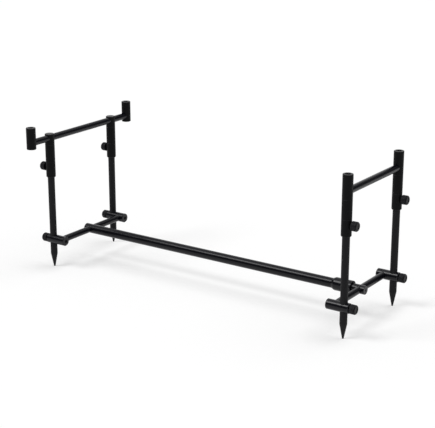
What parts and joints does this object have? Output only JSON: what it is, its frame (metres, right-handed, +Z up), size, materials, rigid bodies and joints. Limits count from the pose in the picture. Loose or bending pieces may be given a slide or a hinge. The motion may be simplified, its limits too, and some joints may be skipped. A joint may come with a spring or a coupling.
{
  "type": "rod pod",
  "caption": "Low rod pod with a telescopic ridge tube, cross bars, spiked legs and sliding goalposts whose buzz bars end in threaded alarm sockets.",
  "frame": {"origin": "on the ground under the middle of the pod, in the plane of the four spike tips", "axes": "+X along the ridge towards the telescopic rear end, +Y to the right as seen from behind, +Z up"},
  "size_m": [0.6876, 0.301, 0.2862],
  "materials": {
    "tube_black": "satin black anodised",
    "leg_black": "matte black anodised",
    "knob_black": "matte black anodised, knurled",
    "screw_steel": "blackened steel",
    "collet_plastic": "moulded"
  },
  "bodies": {
    "ridge": {"ridge_tube": "tube_black", "front_end_plug": "screw_steel", "front_plug_screw": "screw_steel", "front_end_set_screw": "screw_steel", "front_cross_bar": "tube_black", "front_left_clamp": "tube_black", "front_right_clamp": "tube_black", "front_clamp_set_screws": "screw_steel", "collet": "collet_plastic"},
    "lock_collar": {"lock_collar": "tube_black"},
    "rear_frame": {"inner_tube": "tube_black", "rear_end_piece": "tube_black", "rear_end_set_screw": "screw_steel", "rear_cross_bar": "tube_black", "rear_left_clamp": "tube_black", "rear_right_clamp": "tube_black", "rear_clamp_set_screws": "screw_steel"},
    "front_legs": {"front_left_leg": "leg_black", "front_left_spike": "leg_black", "front_right_leg": "leg_black", "front_right_spike": "leg_black"},
    "front_goalpost": {"front_buzz_bar": "tube_black", "front_joining_studs": "screw_steel", "front_left_socket": "leg_black", "front_left_sleeve": "leg_black", "front_left_lock_ring": "leg_black", "front_left_head": "leg_black", "front_right_socket": "leg_black", "front_right_sleeve": "leg_black", "front_right_lock_ring": "leg_black", "front_right_head": "leg_black"},
    "rear_legs": {"rear_left_leg": "leg_black", "rear_left_spike": "leg_black", "rear_right_leg": "leg_black", "rear_right_spike": "leg_black"},
    "rear_goalpost": {"rear_buzz_bar": "tube_black", "rear_joining_studs": "screw_steel", "rear_left_socket": "leg_black", "rear_left_sleeve": "leg_black", "rear_left_lock_ring": "leg_black", "rear_right_socket": "leg_black", "rear_right_sleeve": "leg_black", "rear_right_lock_ring": "leg_black"},
    "front_left_clamp_screw": {"front_left_clamp_screw": "knob_black"},
    "front_left_ring_screw": {"front_left_ring_screw": "knob_black"},
    "front_right_clamp_screw": {"front_right_clamp_screw": "knob_black"},
    "front_right_ring_screw": {"front_right_ring_screw": "knob_black"},
    "rear_left_clamp_screw": {"rear_left_clamp_screw": "knob_black"},
    "rear_left_ring_screw": {"rear_left_ring_screw": "knob_black"},
    "rear_right_clamp_screw": {"rear_right_clamp_screw": "knob_black"},
    "rear_right_ring_screw": {"rear_right_ring_screw": "knob_black"}
  },
  "joints": [
    {"name": "collar_twist", "type": "hinge", "parent": "ridge", "child": "lock_collar", "pos_m": [0.26825, 0, 0.056], "axis": [1, 0, 0], "range_deg": [0, 180]},
    {"name": "ridge_extend", "type": "slide", "parent": "ridge", "child": "rear_frame", "axis": [1, 0, 0], "range_m": [0, 0.29]},
    {"name": "front_legs_slide", "type": "slide", "parent": "ridge", "child": "front_legs", "axis": [0, 0, 1], "range_m": [-0.112, 0.017]},
    {"name": "front_goalpost_slide", "type": "slide", "parent": "front_legs", "child": "front_goalpost", "axis": [0, 0, 1], "range_m": [0, 0.032]},
    {"name": "rear_legs_slide", "type": "slide", "parent": "rear_frame", "child": "rear_legs", "axis": [0, 0, 1], "range_m": [-0.112, 0.017]},
    {"name": "rear_goalpost_slide", "type": "slide", "parent": "rear_legs", "child": "rear_goalpost", "axis": [0, 0, 1], "range_m": [0, 0.032]},
    {"name": "front_left_clamp_screw_turn", "type": "hinge", "parent": "ridge", "child": "front_left_clamp_screw", "pos_m": [-0.334, -0.091, 0.056], "axis": [-1, 0, 0], "range_deg": [0, 360]},
    {"name": "front_left_ring_screw_turn", "type": "hinge", "parent": "front_goalpost", "child": "front_left_ring_screw", "pos_m": [-0.334, -0.091, 0.2], "axis": [-1, 0, 0], "range_deg": [0, 360]},
    {"name": "front_right_clamp_screw_turn", "type": "hinge", "parent": "ridge", "child": "front_right_clamp_screw", "pos_m": [-0.334, 0.091, 0.056], "axis": [-1, 0, 0], "range_deg": [0, 360]},
    {"name": "front_right_ring_screw_turn", "type": "hinge", "parent": "front_goalpost", "child": "front_right_ring_screw", "pos_m": [-0.334, 0.091, 0.2], "axis": [-1, 0, 0], "range_deg": [0, 360]},
    {"name": "rear_left_clamp_screw_turn", "type": "hinge", "parent": "rear_frame", "child": "rear_left_clamp_screw", "pos_m": [0.334, -0.091, 0.056], "axis": [1, 0, 0], "range_deg": [0, 360]},
    {"name": "rear_left_ring_screw_turn", "type": "hinge", "parent": "rear_goalpost", "child": "rear_left_ring_screw", "pos_m": [0.334, -0.091, 0.2], "axis": [1, 0, 0], "range_deg": [0, 360]},
    {"name": "rear_right_clamp_screw_turn", "type": "hinge", "parent": "rear_frame", "child": "rear_right_clamp_screw", "pos_m": [0.334, 0.091, 0.056], "axis": [1, 0, 0], "range_deg": [0, 360]},
    {"name": "rear_right_ring_screw_turn", "type": "hinge", "parent": "rear_goalpost", "child": "rear_right_ring_screw", "pos_m": [0.334, 0.091, 0.2], "axis": [1, 0, 0], "range_deg": [0, 360]}
  ]
}
